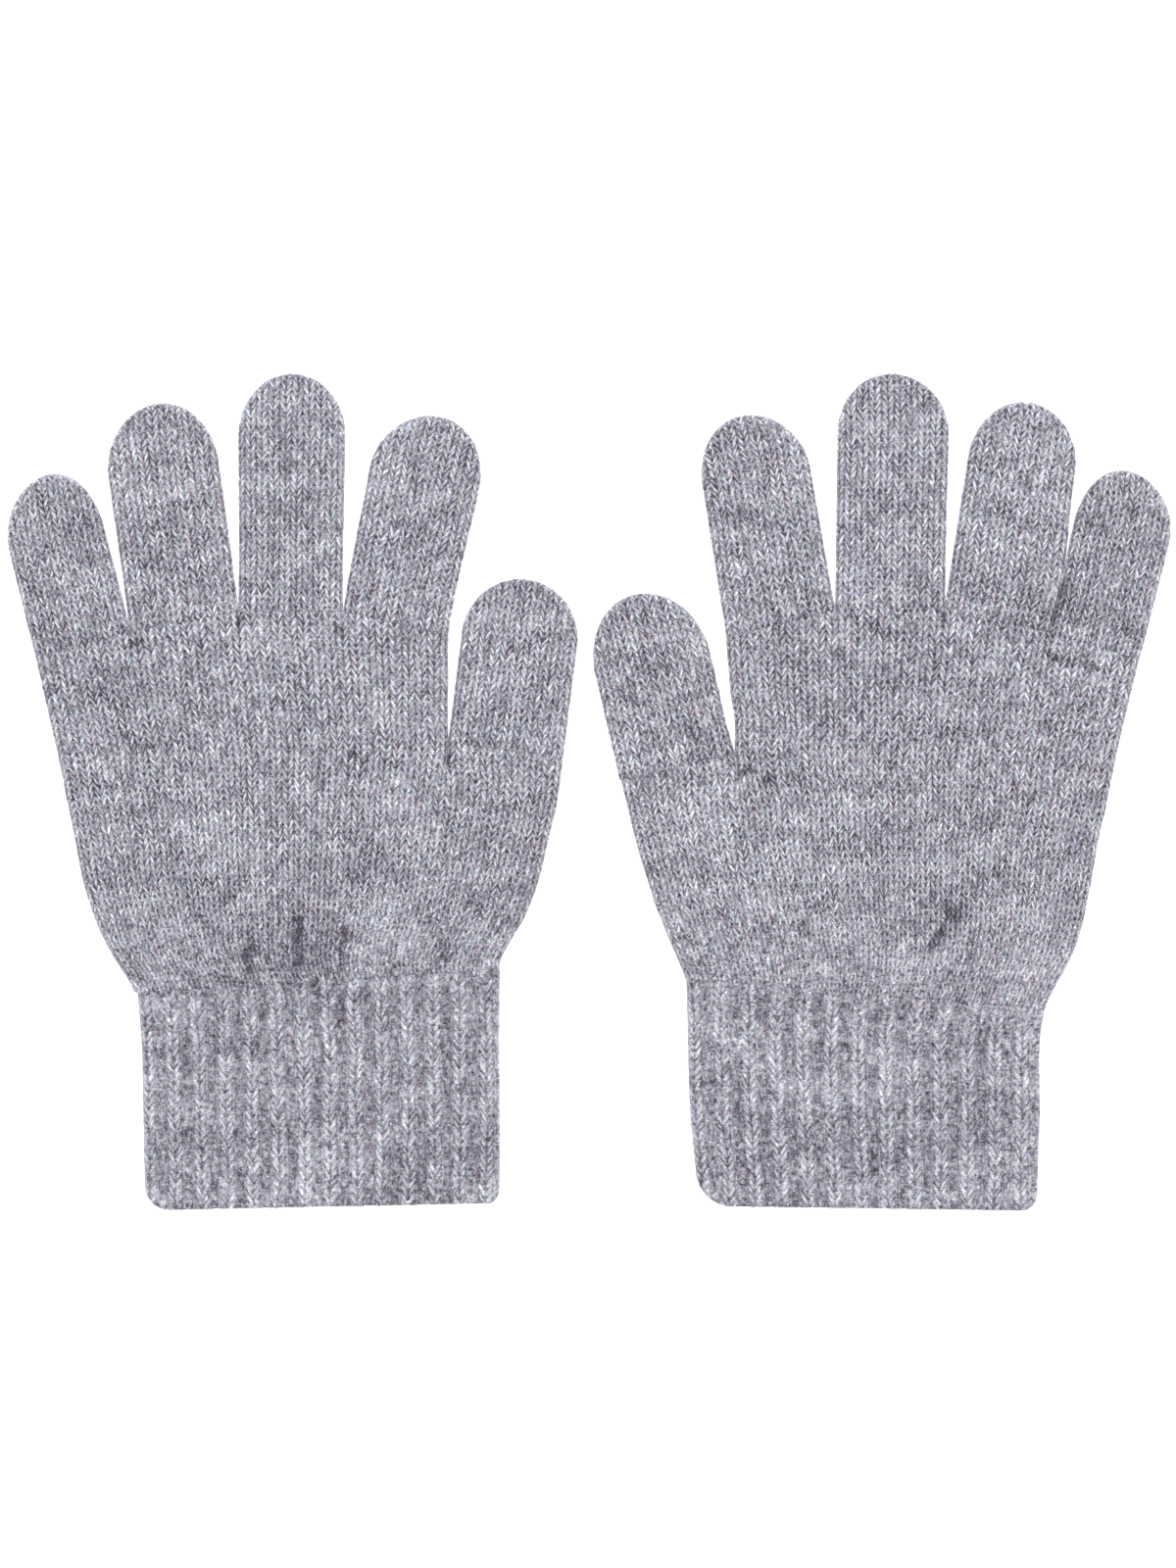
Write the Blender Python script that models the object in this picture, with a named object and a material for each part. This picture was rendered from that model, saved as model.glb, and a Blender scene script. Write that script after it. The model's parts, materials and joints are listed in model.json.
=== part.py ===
"""Pair of plain knitted gloves, laid flat with the backs of both hands up.

Each piece is a flat bag of knitted cloth: an upper and an under panel that share their points
along the side folds, and a slit of air between them. The under panel rests flat at z = 0. Each
glove is drawn in its own plan, in millimetres: u runs from the line of the middle finger towards
the little finger, v from the hem towards the fingertips. x runs to the right across the pair, y
to the fingertips and z up.
"""
import math
from collections import namedtuple

import bmesh
import bpy

MM = 0.001
UPPER, UNDER, FOLD = 1, -1, 0

# Driving sizes of the cloth, mm
CLOTH = 2.0                 # one wall of plain knit
AIR = 0.3                   # slit between the two walls
THICKNESS = 2 * CLOTH + AIR
FOLD_HEIGHT = THICKNESS / 2
CROWN = 0.4                 # how much higher a piece is along its middle
RIB_HEIGHT = 1.0            # rib crest over the groove beside it
GROOVE_DROP = 0.3           # rib groove under the plain knit
RIB_CREST = 1.1             # half width of a rib's flat crest
RIB_FOOT = 1.9              # half width of a rib at its foot
RIB_FADE = 3.0              # a rib flattens over this length at the seam
HEM_ROUND = 0.7             # the hem's edge is lower than the cuff behind it
SEAM_GAP = 0.3              # between two pieces, along a seam
SIDE_GAP = 0.15             # each finger stands back this much beside its neighbour
CROTCH_DIMPLE = 0.8         # the hand is drawn in at each finger crotch
DIMPLE_RADIUS = 5.0
GLOVE_LENGTH = 210.0        # hem to the tip of the middle finger

# Distances in from a fold at which its rounding gets a row of points
FOLD_STEPS = (0.0, 0.13 * FOLD_HEIGHT, 0.5 * FOLD_HEIGHT, FOLD_HEIGHT)

Glove = namedtuple("Glove", "side middle_x roots thumb_root digits hand cuff seam hem ribs folds")
# Seam of the fingers on the hand, from the index finger's outer side to the little finger's
Root = namedtuple("Root", "u v")
# A finger: middle of its shoulder line, where the round tip starts; width there; length of the
# tip and how far it bends towards the little side; and how far each side swells below the shoulder
Digit = namedtuple("Digit", "name u v width tip bend swell_thumb_side swell_little_side")
# Both sides of the tube at one height
Section = namedtuple("Section", "v thumb_side little_side")
# Seam of cuff on hand: its height at both sides
Seam = namedtuple("Seam", "thumb_side little_side")
# Hem: height and corner radius at both sides
Hem = namedtuple("Hem", "thumb_side little_side thumb_corner little_corner")
# Rib lines: how many, place of the one nearest the little side's fold, spacing
Ribs = namedtuple("Ribs", "count first pitch")
# A drawn-in fold in the upper panel above the rib
Pucker = namedtuple("Pucker", "u v length half_width depth")

LEFT = Glove(
    side=-1, middle_x=-74.85,
    roots=(Root(-39.4, 144.2), Root(-13.0, 150.1), Root(13.3, 150.1), Root(40.3, 145.1),
           Root(64.0, 138.5)),
    thumb_root=(Root(-68.2, 113.5), Root(-39.3, 117.4)),
    digits=(
        Digit("thumb", -57.2, 143.2, 29.2, 15.2, 0.0, 0.0, 0.0),
        Digit("index_finger", -33.4, 183.5, 28.1, 16.0, -0.8, -0.4, 0.2),
        Digit("middle_finger", -0.2, 194.3, 26.9, 15.5, 0.0, -0.2, -0.2),
        Digit("ring_finger", 31.9, 185.4, 28.0, 17.0, -0.6, 0.2, 0.0),
        Digit("little_finger", 58.6, 167.7, 24.6, 16.9, -1.6, 0.1, 0.0)),
    hand=(Section(54.0, -52.3, 39.0), Section(57.7, -52.3, 40.8), Section(62.6, -52.5, 44.0),
          Section(67.5, -55.0, 46.7), Section(72.5, -58.0, 48.9), Section(77.4, -60.2, 50.6),
          Section(82.3, -61.9, 52.1), Section(92.1, -64.3, 54.0), Section(101.9, -66.6, 56.0),
          Section(113.5, -68.2, 58.4), Section(138.5, -71.6, 64.0)),
    cuff=(Section(0.0, -52.0, 36.6), Section(8.6, -52.3, 36.8), Section(23.3, -52.3, 37.1),
          Section(43.0, -52.2, 37.6), Section(61.0, -52.3, 39.2)),
    seam=Seam(60.7, 54.8),
    hem=Hem(2.0, 0.2, 3.0, 6.6),
    ribs=Ribs(14, 1.5, 6.5),
    folds=(Pucker(-1.7, 69.5, 9.0, 4.0, 0.9), Pucker(-13.0, 70.0, 5.0, 3.5, 0.5),
           Pucker(10.8, 62.5, 5.0, 3.5, 0.5)))

RIGHT = Glove(
    side=1, middle_x=75.45,
    roots=(Root(-41.4, 143.7), Root(-14.0, 150.6), Root(13.5, 151.3), Root(39.5, 144.9),
           Root(62.1, 138.0)),
    thumb_root=(Root(-68.0, 107.8), Root(-39.1, 114.7)),
    digits=(
        Digit("thumb", -59.7, 137.0, 29.4, 18.1, -0.6, 0.0, 0.0),
        Digit("index_finger", -33.7, 183.7, 27.5, 16.0, -0.9, 0.0, 0.0),
        Digit("middle_finger", 0.5, 194.8, 28.0, 15.0, -0.5, 0.0, -0.1),
        Digit("ring_finger", 32.7, 186.9, 27.2, 15.8, -0.4, 0.1, 0.9),
        Digit("little_finger", 57.8, 170.0, 24.5, 15.4, -1.6, -0.35, 0.1)),
    hand=(Section(50.0, -51.3, 38.4), Section(52.8, -51.3, 39.5), Section(57.7, -51.6, 42.0),
          Section(62.6, -53.3, 44.7), Section(67.5, -55.5, 46.7), Section(72.5, -57.5, 48.1),
          Section(77.4, -59.4, 49.1), Section(82.3, -60.9, 50.1), Section(92.1, -63.9, 51.8),
          Section(101.9, -66.3, 54.0), Section(114.7, -69.2, 56.6), Section(138.0, -75.0, 62.1)),
    cuff=(Section(0.0, -48.4, 36.6), Section(8.6, -48.9, 36.8), Section(23.3, -50.3, 37.3),
          Section(47.9, -51.1, 38.1), Section(59.0, -51.4, 41.0)),
    seam=Seam(58.2, 50.8),
    hem=Hem(1.3, 0.1, 8.6, 4.2),
    ribs=Ribs(13, 4.6, 6.8),
    folds=(Pucker(10.1, 68.5, 6.0, 4.0, 0.6), Pucker(15.2, 74.5, 5.0, 3.5, 0.4)))

# Rows of points: shares of the way along each piece
HAND_ROWS_BELOW_THUMB = (0.0, 0.08, 0.16, 0.26, 0.36, 0.5, 0.7, 0.86, 0.96, 1.0)
HAND_ROWS_ABOVE_THUMB = (0.0, 0.08, 0.4, 0.8, 1.0)
CUFF_ROWS = (0.0, 0.04, 0.5, 0.94, 1.0)
DIGIT_ROWS = (0.0, 0.33, 0.66, 1.0)
TIP_ROWS = (0.35, 0.65)
# The plain lining side keeps only these of the rows above
HAND_LINING_ROWS = (0, 4, 7, 9)
DIGIT_LINING_ROWS = (0, 3, 6, 9)
# Columns of points between the folds: share of a digit's half width, shares of the thumb's stub
DIGIT_COLUMN = 0.55
STUB_COLUMNS = (0.3, 0.5, 0.7)
PALM_COLUMNS_A_FINGER = 4
LEAST_COLUMN = 0.25         # cuff columns nearer than this are left out, mm
SHARP_EDGE = math.radians(50)

YARN_GREY = (0.36, 0.355, 0.41, 1.0)
RIB_GREY = (0.34, 0.335, 0.39, 1.0)


def blend(a, b, share):
    return a + (b - a) * share


def interpolate(points, x):
    """Height at x of the line through (x, height) points, carried on past both ends."""
    k = 1
    while k < len(points) - 1 and x > points[k][0]:
        k += 1
    (x0, y0), (x1, y1) = points[k - 1], points[k]
    return blend(y0, y1, (x - x0) / (x1 - x0))


def edges_at(sections, v):
    """Both sides of a tube at height v, through its table of sections."""
    thumb_side = interpolate([(s.v, s.thumb_side) for s in sections], v)
    little_side = interpolate([(s.v, s.little_side) for s in sections], v)
    return thumb_side, little_side


def rounded(inset, radius):
    """Quarter circle that rises from 0 at a fold to 1 at the given distance from it."""
    left = 1.0 - min(max(inset / radius, 0.0), 1.0)
    return math.sqrt(1.0 - left * left)


def bump(distance, reach):
    """Smooth hump: 1 at distance 0, 0 from reach on."""
    share = min(abs(distance) / reach, 1.0)
    return (1.0 - share * share) ** 2


def outer_height(side, inset, top):
    if side == FOLD:
        return FOLD_HEIGHT
    reach = top - FOLD_HEIGHT if side == UPPER else FOLD_HEIGHT
    return FOLD_HEIGHT + side * reach * rounded(inset, FOLD_HEIGHT)


def inner_height(side, inset):
    return FOLD_HEIGHT + side * AIR / 2 * rounded(inset, AIR / 2)


class Bag:
    """One closed solid of two skins, the outer and the lining side, joined by rims."""

    def __init__(self, glove, name):
        self.glove = glove
        self.name = name
        self.bm = bmesh.new()
        self.skins = {}

    def point(self, skin, i, j, side):
        corners, place, is_fold = self.skins[skin]
        key = (i, j, FOLD if is_fold(i, j) else side)
        if key not in corners:
            u, v, z = place(*key)
            x = self.glove.middle_x + self.glove.side * u
            corners[key] = self.bm.verts.new((x * MM, (v - GLOVE_LENGTH / 2) * MM, z * MM))
        return corners[key]

    def add_skin(self, skin, blocks, place, is_fold):
        """Both panels over blocks of grid cells; a point on a fold serves both panels.

        Every cell is cut along the diagonal that points at the middle of the fold, so that a
        rounded corner of the outline keeps a cell edge.
        """
        self.skins[skin] = ({}, place, is_fold)
        for columns, rows in blocks:
            half = (len(columns) - 1) / 2
            for c in range(len(columns) - 1):
                for r in range(len(rows) - 1):
                    i, k, j, l = columns[c], columns[c + 1], rows[r], rows[r + 1]
                    for side in (UPPER, UNDER):
                        a, b = self.point(skin, i, j, side), self.point(skin, k, j, side)
                        e, d = self.point(skin, k, l, side), self.point(skin, i, l, side)
                        if c < half:
                            self.bm.faces.new((a, b, d))
                            self.bm.faces.new((b, e, d))
                        else:
                            self.bm.faces.new((a, b, e))
                            self.bm.faces.new((a, e, d))

    def add_rim(self, columns, row):
        """The cloth's cut edge along an open row, from the outer skin to the lining side."""
        for i, k in zip(columns[:-1], columns[1:]):
            for side in (UPPER, UNDER):
                self.bm.faces.new((self.point("outer", i, row, side),
                                   self.point("outer", k, row, side),
                                   self.point("inner", k, row, side),
                                   self.point("inner", i, row, side)))

    def finish(self, collection, colour):
        bmesh.ops.recalc_face_normals(self.bm, faces=self.bm.faces)
        mesh = bpy.data.meshes.new(self.name)
        self.bm.to_mesh(mesh)
        self.bm.free()
        mesh.shade_smooth()
        mesh.set_sharp_from_angle(angle=SHARP_EDGE)
        mesh.materials.append(yarn(self.name + "_yarn", colour))
        collection.objects.link(bpy.data.objects.new(self.name, mesh))


def yarn(name, colour):
    material = bpy.data.materials.new(name)
    material.use_nodes = True
    shader = material.node_tree.nodes["Principled BSDF"]
    shader.inputs["Base Color"].default_value = colour
    shader.inputs["Roughness"].default_value = 0.9
    shader.inputs["Metallic"].default_value = 0.0
    return material


def digit_ends(glove, digit):
    """Both ends of the seam that carries a finger or the thumb, thumb side first."""
    if digit.name == "thumb":
        return glove.thumb_root
    place = [d.name for d in glove.digits].index(digit.name)
    return glove.roots[place - 1], glove.roots[place]


def make_digit(glove, label, digit, collection):
    """A finger: a ruled tube from its seam to the shoulder line, then a half-round tip."""
    thumb_end, little_end = digit_ends(glove, digit)
    seam = math.dist(thumb_end, little_end)
    across = ((little_end.u - thumb_end.u) / seam, (little_end.v - thumb_end.v) / seam)
    run = (digit.u - (thumb_end.u + little_end.u) / 2, digit.v - (thumb_end.v + little_end.v) / 2)
    lean = math.atan2(run[0], run[1])
    along, square = (math.sin(lean), math.cos(lean)), (math.cos(lean), -math.sin(lean))
    half = digit.width / 2
    side_gap = SEAM_GAP if digit.name == "thumb" else SIDE_GAP
    rows = ([(share, 0.0) for share in DIGIT_ROWS] + [(1.0, tip) for tip in TIP_ROWS]
            + [(1.0, 1.0 - step / digit.tip) for step in reversed(FOLD_STEPS)])
    insets = list(FOLD_STEPS) + [half * DIGIT_COLUMN]
    shares = [step / half - 1 for step in insets] + [0.0]
    shares += [1 - step / half for step in reversed(insets)]
    last_column, last_row = len(shares) - 1, len(rows) - 1

    def plan(i, j, wall):
        """Plan point and its distance from the outline, of the outline moved in by wall."""
        (share, tip), s = rows[j], shares[i]
        if tip > 0.0:
            x = s * math.sqrt(1 - tip * tip / 2)
            y = tip * math.sqrt(1 - s * s / 2)
            reach_x = x * (half - wall) + digit.bend * y * y
            reach_y = y * (digit.tip - wall)
            u = digit.u + square[0] * reach_x + along[0] * reach_y
            v = digit.v + square[1] * reach_x + along[1] * reach_y
            return u, v, (1 - math.hypot(x, y)) * (half - wall)
        ends = []
        for sign, end, swell in ((1, thumb_end, digit.swell_thumb_side),
                                 (-1, little_end, digit.swell_little_side)):
            move = sign * (side_gap + wall)
            foot = [end[k] + across[k] * move + along[k] * SEAM_GAP for k in (0, 1)]
            shoulder = [(digit.u, digit.v)[k] - sign * square[k] * (half - wall) for k in (0, 1)]
            out = -sign * swell * 4 * share * (1 - share)
            ends.append([blend(foot[k], shoulder[k], share) + square[k] * out for k in (0, 1)])
        u, v = (blend(ends[0][k], ends[1][k], (s + 1) / 2) for k in (0, 1))
        return u, v, (1 - abs(s)) * (half - wall)

    def outer(i, j, side):
        u, v, inset = plan(i, j, 0.0)
        top = THICKNESS + CROWN * bump(half - inset, half)
        return u, v, outer_height(side, inset, top)

    def inner(i, j, side):
        u, v, inset = plan(i, j, CLOTH)
        return u, v, inner_height(side, inset)

    def is_fold(i, j):
        return i in (0, last_column) or j == last_row

    columns = list(range(len(shares)))
    bag = Bag(glove, label + "_" + digit.name)
    bag.add_skin("outer", [(columns, list(range(len(rows))))], outer, is_fold)
    bag.add_skin("inner", [(columns, DIGIT_LINING_ROWS)], inner, is_fold)
    bag.add_rim(columns, 0)
    bag.finish(collection, YARN_GREY)


def make_hand(glove, label, collection):
    """The hand: one wide tube that forks below the thumb into a stub for it and the palm."""
    thumb_out, crotch = glove.thumb_root
    wide = edges_at(glove.hand, crotch.v)
    width = wide[1] - wide[0]
    fork = (crotch.u - wide[0]) / width
    roots = glove.roots
    spans = [(root.u - roots[0].u) / (roots[-1].u - roots[0].u) for root in roots]

    # A column is a share of the width and a distance added to it
    columns = [(0.0, step) for step in FOLD_STEPS]
    columns += [(fork * share, 0.0) for share in STUB_COLUMNS]
    columns += [(fork, -step) for step in reversed(FOLD_STEPS)]
    fork_column = len(columns) - 1
    columns += [(fork, step) for step in FOLD_STEPS[1:]]
    for start, end in zip(spans[:-1], spans[1:]):
        shares = [blend(start, end, (k + 1) / PALM_COLUMNS_A_FINGER)
                  for k in range(PALM_COLUMNS_A_FINGER)]
        columns += [(blend(fork, 1.0, share), 0.0) for share in shares if share < 1.0]
    columns += [(1.0, -step) for step in reversed(FOLD_STEPS)]
    last_column = len(columns) - 1
    fork_row = len(HAND_ROWS_BELOW_THUMB) - 1
    last_row = fork_row + len(HAND_ROWS_ABOVE_THUMB) - 1

    def below(i, j):
        share, step = columns[i]
        place = share + step / width
        seam_v = blend(glove.seam.thumb_side, glove.seam.little_side, place)
        stub_v = blend(thumb_out.v, crotch.v, min(place / fork, 1.0))
        v = blend(seam_v, stub_v, HAND_ROWS_BELOW_THUMB[j])
        edges = edges_at(glove.hand, v)
        return blend(edges[0], edges[1], share) + step, v, edges

    def above(i, j):
        u0, v0, edges0 = below(i, fork_row)
        share = (columns[i][0] - fork) / (1 - fork)
        u1 = blend(roots[0].u, roots[-1].u, share) + columns[i][1]
        v1 = interpolate(roots, u1)
        up = HAND_ROWS_ABOVE_THUMB[j - fork_row]
        edges = (blend(crotch.u, roots[0].u, up), blend(edges0[1], roots[-1].u, up))
        return blend(u0, u1, up), blend(v0, v1, up), edges

    def draws(u, v):
        """How far the upper panel is drawn down by the finger crotches and the puckers."""
        depth = sum(CROTCH_DIMPLE * bump(math.hypot(u - root.u, v - root.v), DIMPLE_RADIUS)
                    for root in roots[1:-1])
        for fold in glove.folds:
            depth += (fold.depth * bump(u - fold.u, fold.half_width)
                      * bump(v - fold.v, fold.length))
        return depth

    def outer(i, j, side):
        u, v, edges = below(i, j) if j <= fork_row else above(i, j)
        inset = min(u - edges[0], edges[1] - u, math.hypot(u - crotch.u, v - crotch.v))
        middle = (edges[1] - edges[0]) / 2
        top = THICKNESS + CROWN * bump(middle - inset, middle) - draws(u, v)
        return u, v, outer_height(side, inset, top)

    def inner(i, j, side):
        u, v, edges = below(i, j) if j <= fork_row else above(i, j)
        if (i, j) == (fork_column, fork_row):
            return crotch.u, crotch.v - CLOTH, FOLD_HEIGHT
        if j == fork_row:
            edges = (edges[0], crotch.u) if i < fork_column else (crotch.u, edges[1])
        share = (u - edges[0]) / (edges[1] - edges[0])
        u = blend(edges[0] + CLOTH, edges[1] - CLOTH, share)
        if j == last_row:
            v = interpolate(roots, u)
        elif j == fork_row and i < fork_column:
            v = interpolate(glove.thumb_root, u)
        inset = min(share, 1 - share) * (edges[1] - edges[0] - 2 * CLOTH)
        return u, v, inner_height(side, inset)

    def is_fold(i, j):
        if j < fork_row:
            return i in (0, last_column)
        if j == fork_row:
            return i in (0, fork_column, last_column)
        return i in (fork_column, last_column)

    all_columns = list(range(len(columns)))
    palm_columns = all_columns[fork_column:]
    rows_below = list(range(fork_row + 1))
    rows_above = list(range(fork_row, last_row + 1))
    bag = Bag(glove, label + "_hand")
    bag.add_skin("outer", [(all_columns, rows_below), (palm_columns, rows_above)], outer, is_fold)
    bag.add_skin("inner", [(all_columns, HAND_LINING_ROWS), (palm_columns, (fork_row, last_row))],
                 inner, is_fold)
    bag.add_rim(all_columns, 0)
    bag.add_rim(all_columns[:fork_column + 1], fork_row)
    bag.add_rim(palm_columns, last_row)
    bag.finish(collection, YARN_GREY)


def make_cuff(glove, label, collection):
    """The cuff: a tube whose upper panel and folds are raised into ribs over a plain inside."""
    middle = edges_at(glove.cuff, glove.cuff[2].v)
    width = middle[1] - middle[0]
    crests = [width - glove.ribs.first - k * glove.ribs.pitch for k in range(glove.ribs.count)]
    steps = [crest + foot for crest in crests for foot in (-RIB_FOOT, -RIB_CREST, RIB_CREST, RIB_FOOT)]
    steps += list(FOLD_STEPS) + [width - step for step in FOLD_STEPS]
    steps = sorted(step for step in steps if 0.0 <= step <= width)
    shares = [0.0]
    for step in steps:
        if step / width - shares[-1] > LEAST_COLUMN / width:
            shares.append(step / width)
    shares[-1] = 1.0
    last_column, last_row = len(shares) - 1, len(CUFF_ROWS) - 1

    def plan(i, j):
        share = shares[i]
        seam_v = blend(glove.seam.thumb_side, glove.seam.little_side, share) - SEAM_GAP
        hem_v = blend(glove.hem.thumb_side, glove.hem.little_side, share)
        for radius, inset in ((glove.hem.thumb_corner, share * width),
                              (glove.hem.little_corner, (1 - share) * width)):
            hem_v += radius * (1 - rounded(inset, radius))
        v = blend(hem_v, seam_v, CUFF_ROWS[j])
        edges = edges_at(glove.cuff, v)
        return blend(edges[0], edges[1], share), v, edges, seam_v

    def rib(share):
        """1 on a crest, 0 in a groove, sloping between crest and foot."""
        distance = min(abs(share * width - crest) for crest in crests)
        return min(max((RIB_FOOT - distance) / (RIB_FOOT - RIB_CREST), 0.0), 1.0)

    def outer(i, j, side):
        u, v, edges, seam_v = plan(i, j)
        inset = min(u - edges[0], edges[1] - u)
        ribbed = RIB_HEIGHT * rib(shares[i]) - GROOVE_DROP
        top = THICKNESS + ribbed * min((seam_v - v) / RIB_FADE, 1.0)
        if j == 0:
            top -= HEM_ROUND
        return u, v, outer_height(side, inset, top)

    def inner(i, j, side):
        u, v, edges, _ = plan(i, j)
        room = edges[1] - edges[0] - 2 * CLOTH
        return (edges[0] + CLOTH + shares[i] * room, v,
                inner_height(side, min(shares[i], 1 - shares[i]) * room))

    def is_fold(i, j):
        return i in (0, last_column)

    columns = list(range(len(shares)))
    bag = Bag(glove, label + "_cuff")
    bag.add_skin("outer", [(columns, list(range(last_row + 1)))], outer, is_fold)
    bag.add_skin("inner", [(columns, [0, last_row])], inner, is_fold)
    bag.add_rim(columns, 0)
    bag.add_rim(columns, last_row)
    bag.finish(collection, RIB_GREY)


for old in list(bpy.data.objects):
    bpy.data.objects.remove(old)

gloves = bpy.data.collections.new("knitted_gloves")
bpy.context.scene.collection.children.link(gloves)
for label, glove in (("left", LEFT), ("right", RIGHT)):
    make_cuff(glove, label, gloves)
    make_hand(glove, label, gloves)
    for digit in glove.digits:
        make_digit(glove, label, digit, gloves)
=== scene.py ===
"""Looks of a pair of plain knitted gloves, laid flat with the backs of both hands up.

The gloves are drawn in millimetres. Each has its own plan: u runs from the line of the middle
finger towards the little finger and v from the hem towards the fingertips. In the row frame x
runs across the pair, y to the fingertips and z up.
"""
import json
import math
from collections import namedtuple

import bpy
import numpy as np
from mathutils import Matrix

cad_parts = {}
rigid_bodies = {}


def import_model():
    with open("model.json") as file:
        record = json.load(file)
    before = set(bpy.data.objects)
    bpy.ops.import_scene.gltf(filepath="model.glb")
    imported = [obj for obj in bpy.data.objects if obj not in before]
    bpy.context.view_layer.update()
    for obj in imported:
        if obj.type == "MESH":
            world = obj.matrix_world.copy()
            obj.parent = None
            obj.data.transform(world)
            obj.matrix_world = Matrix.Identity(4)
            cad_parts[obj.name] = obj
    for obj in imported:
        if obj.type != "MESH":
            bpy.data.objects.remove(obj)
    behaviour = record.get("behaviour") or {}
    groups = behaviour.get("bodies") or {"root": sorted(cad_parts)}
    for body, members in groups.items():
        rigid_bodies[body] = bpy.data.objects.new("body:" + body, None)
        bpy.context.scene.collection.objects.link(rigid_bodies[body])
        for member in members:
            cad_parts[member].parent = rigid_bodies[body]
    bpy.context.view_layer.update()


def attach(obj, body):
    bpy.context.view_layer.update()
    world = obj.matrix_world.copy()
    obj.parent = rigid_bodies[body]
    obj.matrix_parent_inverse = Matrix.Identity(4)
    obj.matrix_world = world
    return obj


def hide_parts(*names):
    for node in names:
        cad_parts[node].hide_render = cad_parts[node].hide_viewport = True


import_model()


# ---- The view: a cut-out seen straight from above -----------------------------------------------
# A plain white table, a long lens over the middle of the pair, and soft light from all round
# with a little more of it from the top right, as the yarn's highlights show.

MM = 0.001                           # metres
PHOTO_SIZE = (1200, 1600)            # pixels
PIXEL = 0.2456                       # mm on the gloves for one pixel of the photo
ORIGIN_PIXEL = (602, 808)            # where the pair's own origin shows in the photo
LENS, SENSOR = 100.0, 36.0           # mm; the sensor's width is the tall side's
SIDE_FOLD = 2.15                     # height of the gloves' outline over the table, mm


def set_inputs(node, values):
    for name, value in values.items():
        node.inputs[name].default_value = value


def make_camera():
    """Straight down; the frame's tall side takes in the photo's height at the outline's level."""
    data = bpy.data.cameras.new("camera")
    data.lens, data.sensor_width = LENS, SENSOR
    distance = PHOTO_SIZE[1] * PIXEL * LENS / SENSOR
    camera = bpy.data.objects.new("camera", data)
    camera.location = ((PHOTO_SIZE[0] / 2 - ORIGIN_PIXEL[0]) * PIXEL * MM,
                       (ORIGIN_PIXEL[1] - PHOTO_SIZE[1] / 2) * PIXEL * MM,
                       (distance + SIDE_FOLD) * MM)
    bpy.context.scene.collection.objects.link(camera)
    bpy.context.scene.camera = camera


def make_light(name, place, size, power, colour):
    """A square area light at a place in metres, turned towards the middle of the pair."""
    data = bpy.data.lights.new(name, "AREA")
    data.size, data.energy, data.color = size, power, colour
    light = bpy.data.objects.new(name, data)
    light.location = place
    light.rotation_euler = (-light.location).to_track_quat("-Z", "Y").to_euler()
    bpy.context.scene.collection.objects.link(light)


def make_table():
    """A wide flat square, half of it 3 m, that glows so that it stays as white as a cut-out."""
    half = 3.0
    mesh = bpy.data.meshes.new("table")
    corners = [(-half, -half, 0), (half, -half, 0), (half, half, 0), (-half, half, 0)]
    mesh.from_pydata(corners, [], [(0, 1, 2, 3)])
    material = bpy.data.materials.new("white_table")
    material.use_nodes = True
    set_inputs(material.node_tree.nodes["Principled BSDF"],
               {"Base Color": (0.93, 0.93, 0.93, 1), "Roughness": 0.9, "Specular IOR Level": 0.1,
                "Emission Color": (1, 1, 1, 1), "Emission Strength": 0.9})
    mesh.materials.append(material)
    table = bpy.data.objects.new("table", mesh)
    bpy.context.scene.collection.objects.link(table)


make_camera()
make_table()
make_light("window_right", (0.9, 0.9, 1.3), size=0.9, power=15, colour=(1.0, 0.99, 0.98))
make_light("window_left", (-1.1, 0.5, 1.4), size=1.2, power=9, colour=(0.95, 0.97, 1.0))
make_light("window_near", (0.1, -1.2, 1.5), size=1.4, power=8, colour=(0.98, 0.98, 1.0))
world = bpy.data.worlds.new("studio")
world.use_nodes = True
set_inputs(world.node_tree.nodes["Background"], {"Color": (0.97, 0.98, 1.0, 1), "Strength": 0.75})
bpy.context.scene.world = world
bpy.context.scene.view_settings.view_transform = "Standard"


# ---- Fingers and thumbs: stockinette tubes, closed at the tip -----------------------------------
# A glove machine knits each as a tube of grey melange wool yarn and closes its round tip. Laid
# flat, a tube shows half its wales and folds along both sides.

# A finger: middle of its shoulder line, where the round tip starts; width there; length of the
# tip and how far it bends towards the little side; and how far each side swells out two thirds
# of the way from the shoulder down to the seam; all in mm
Digit = namedtuple("Digit", "name u v width tip bend swell_thumb_side swell_little_side")
# A soft trough drawn into the upper panel: middle, how far it leans from upright towards the
# little side in degrees, half length and half width, depth, all but the lean in mm
Crease = namedtuple("Crease", "u v lean half_length half_width depth")
# A glove: its side of the pair, the x of its middle finger's line, the ends of the four fingers'
# seams and of the thumb's as (u, v), its fingers and its creases
Glove = namedtuple("Glove", "label side middle_x roots thumb_root digits creases")

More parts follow.
